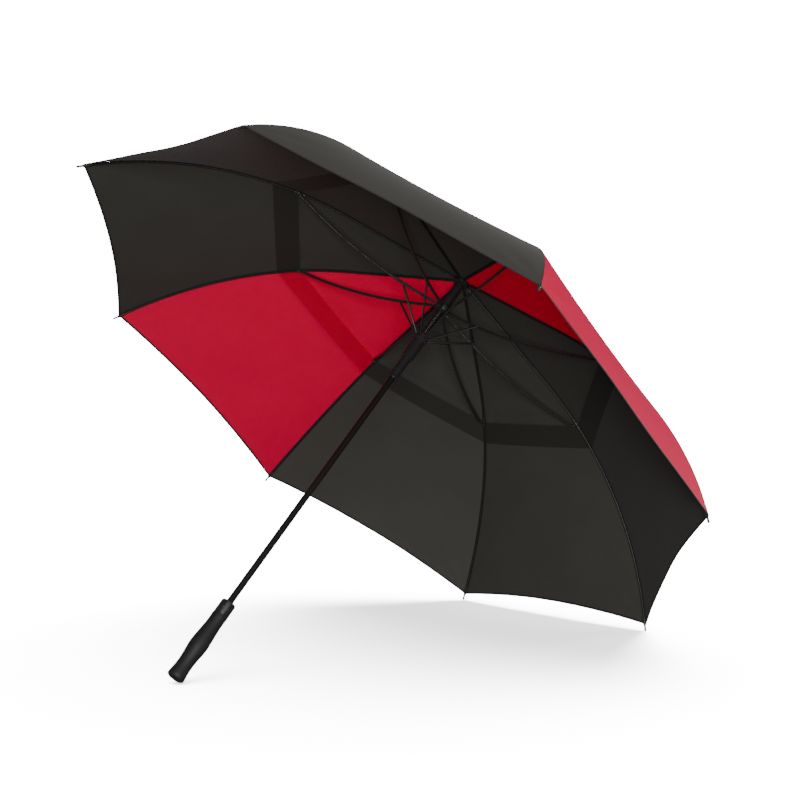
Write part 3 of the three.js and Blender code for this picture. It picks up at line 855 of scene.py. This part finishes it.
def fittingsOf(arm):
    # one rib's eye at the crown, and its crimped sleeve and lug for the stretcher
    n = arm + 1
    flatLink(f"rib_eye_{n}", arm, ribPoint(0.0)[:2], ribPoint(ribFitting["eyeTo"])[:2],
             ribFitting["eyeHalf"], -ribFitting["eyeSide"], ribFitting["eyeSide"], f"arm_{n}")
    turnedOnRib(f"rib_sleeve_{n}", arm, link["bracketAt"], ribFitting["sleeve"], "link_steel",
                linkSteel)
    flatLink(f"rib_lug_{n}", arm, ribPoint(link["bracketAt"])[:2], stretcherPoint(1),
             ribFitting["lugHalf"], ribFitting["lugFrom"], link["side"] - ribFitting["lugGap"],
             f"arm_{n}")


for arm in range(armCount):
    linksOf(arm)
    fittingsOf(arm)
print("links ready")


# thread ties and the folded seam that join the cloth to each rib
tie = {
    "places": (0.17, 0.452, 0.560, 0.665), "turns": 3.0, "radius": 0.00245, "thread": 0.0003,
    "pitch": 0.0007, "steps": 60, "sides": 6,
}
seam = {
    "begin": 0.012, "endShort": 0.004, "half": 0.0034, "height": 0.0023, "thick": 0.00035,
    "steps": 90, "columns": 7,
}


def threadTie(arm, number, at):
    # thread wound round the rib: a short helix about the rib's line
    t = np.linspace(-0.5, 0.5, tie["steps"])
    x, z, slope = ribLine(at + t * tie["turns"] * tie["pitch"])
    angle = 2 * math.pi * tie["turns"] * t
    away = (np.cos(angle)[:, None] * sideways[arm]
            + np.sin(angle)[:, None] * ribUp(arm, slope))
    path = place(arm, x, 0 * x, z) + tie["radius"] * away
    ahead = unit(np.gradient(path, axis=0))
    points = carried(path, away, np.cross(ahead, away), ring(tie["thread"], tie["sides"]))
    return solidPiece(f"cloth_tie_{arm + 1}_{number}", points,
                      tubeFaces(tie["steps"], tie["sides"]), f"arm_{arm + 1}", "black_cloth",
                      bindingTape)


def seamTape(arm):
    # the folded seam under the cloth: a thin strip over the rib that falls to each side as the
    # two facets do, by tan(half turn) sin(slope) |y|
    along = np.linspace(seam["begin"], ribLength - seam["endShort"], seam["steps"])
    x, z, slope = ribLine(along)
    y = np.linspace(-seam["half"], seam["half"], seam["columns"])
    y = np.concatenate([y, y[::-1]])
    layer = np.repeat([0.5, -0.5], seam["columns"]) * seam["thick"]
    fall = math.tan(halfTurn) * np.sin(slope)[:, None] * np.abs(y)
    height = seam["height"] + layer - fall
    points = (place(arm, x, 0 * x, z)[:, None] + y[None, :, None] * sideways[arm]
              + height[..., None] * ribUp(arm, slope)[:, None])
    return solidPiece(f"seam_tape_{arm + 1}", points, tubeFaces(len(along), len(y)),
                      f"arm_{arm + 1}", "black_cloth", bindingTape)


for arm in range(armCount):
    seamTape(arm)
    for number, at in enumerate(tie["places"], 1):
        threadTie(arm, number, at)
print("ties ready")


# main spring, wound finer than its collision stand-in
coil = {
    "radius": 0.00745, "wire": 0.0006, "turns": 30, "low": -0.1962, "high": -0.0848,
    "floor": -0.197, "keep": 0.52, "perTurn": 28, "ease": 0.15, "sides": 8,
}


def springPiece():
    # a helix whose height eases a little at both ends, so that its turns lie closer there
    t = np.linspace(0, 1, coil["turns"] * coil["perTurn"])
    angle = 2 * math.pi * coil["turns"] * t
    rise = smooth(t, 0, 1) * coil["ease"] + t * (1 - coil["ease"])
    path = axial(angle, coil["radius"], coil["low"] + (coil["high"] - coil["low"]) * rise)
    tangent = unit(np.gradient(path, axis=0))
    away = unit(axial(angle, 1.0, 0 * angle) - crown)
    points = carried(path, away, np.cross(tangent, away), ring(coil["wire"], coil["sides"]))
    return solidPiece("spring_coil", points, tubeFaces(len(t), coil["sides"]), "runner",
                      "spring_steel", springWire)


springCoil = springPiece()
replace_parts(springCoil, "main_spring")
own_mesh(springCoil)
print("hardware ready")


# floor and lights
studio = {
    "fill": 0.14, "backdrop": 16.0, "white": (1, 1, 1, 1), "sunSpread": math.radians(75),
    "softLights": {
        "overhead": {"at": (0.2, -0.4, 3.6), "aim": (0, 0, 0.4), "size": 2.2, "power": 24},
        "frontFill": {"at": (-2.4, -3.2, 0.6), "aim": (0, 0, 0.5), "size": 1.2, "power": 175},
        "rightKey": {"at": (3.7, -1.4, 0.6), "aim": (0, 0, 0.5), "size": 1.2, "power": 130},
    },
    "suns": {
        "floorWash": {"power": 46.0, "shadow": True},
        "floorEvenWash": {"power": 19.0, "shadow": False},
    },
}
ground = {
    "reach": 30,
    "sockets": {"Base Color": (0.9, 0.9, 0.9, 1), "Roughness": 0.9, "Specular IOR Level": 0.1},
}

reach = ground["reach"]
floorMesh = bpy.data.meshes.new("floor")
floorMesh.from_pydata([(-reach, -reach, 0), (reach, -reach, 0), (reach, reach, 0),
                       (-reach, reach, 0)], [], [(0, 1, 2, 3)])
floor = bpy.data.objects.new("floor", floorMesh)
floorOnly = bpy.data.collections.new("floorOnly")
bpy.context.scene.collection.children.link(floorOnly)
floorOnly.objects.link(floor)
floorPaint = bpy.data.materials.new("floorPaint")
floorPaint.use_nodes = True
for label, value in ground["sockets"].items():
    floorPaint.node_tree.nodes["Principled BSDF"].inputs[label].default_value = value
floorMesh.materials.append(floorPaint)
floor.visible_diffuse = False
floor.visible_glossy = False

# a bright backdrop for the camera alone, and a faint fill for everything else
world = bpy.data.worlds.new("studio")
bpy.context.scene.world = world
world.use_nodes = True
tree = world.node_tree
faint = tree.nodes["Background"]
bright = addNode(tree, "ShaderNodeBackground")
for background, strength in ((faint, studio["fill"]), (bright, studio["backdrop"])):
    background.inputs["Color"].default_value = studio["white"]
    background.inputs["Strength"].default_value = strength
choose = addNode(tree, "ShaderNodeMixShader")
seen = addNode(tree, "ShaderNodeLightPath").outputs["Is Camera Ray"]
tree.links.new(seen, choose.inputs[0])
tree.links.new(faint.outputs[0], choose.inputs[1])
tree.links.new(bright.outputs[0], choose.inputs[2])
tree.links.new(choose.outputs[0], tree.nodes["World Output"].inputs[0])


def newLight(name, kind, power):
    light = bpy.data.objects.new(name, bpy.data.lights.new(name, kind))
    bpy.context.scene.collection.objects.link(light)
    light.data.energy = power
    return light


for name, soft in studio["softLights"].items():
    light = newLight(name, "AREA", soft["power"])
    light.data.size = soft["size"]
    light.location = soft["at"]
    light.rotation_mode = "QUATERNION"
    aim = Vector(soft["aim"]) - Vector(soft["at"])
    light.rotation_quaternion = aim.to_track_quat("-Z", "Y")

# two suns that reach the floor alone: one with shadows, and one without to even it out
for name, values in studio["suns"].items():
    sun = newLight(name, "SUN", values["power"])
    sun.data.angle = studio["sunSpread"]
    sun.data.use_shadow = values["shadow"]
    sun.light_linking.receiver_collection = floorOnly
print("studio ready")
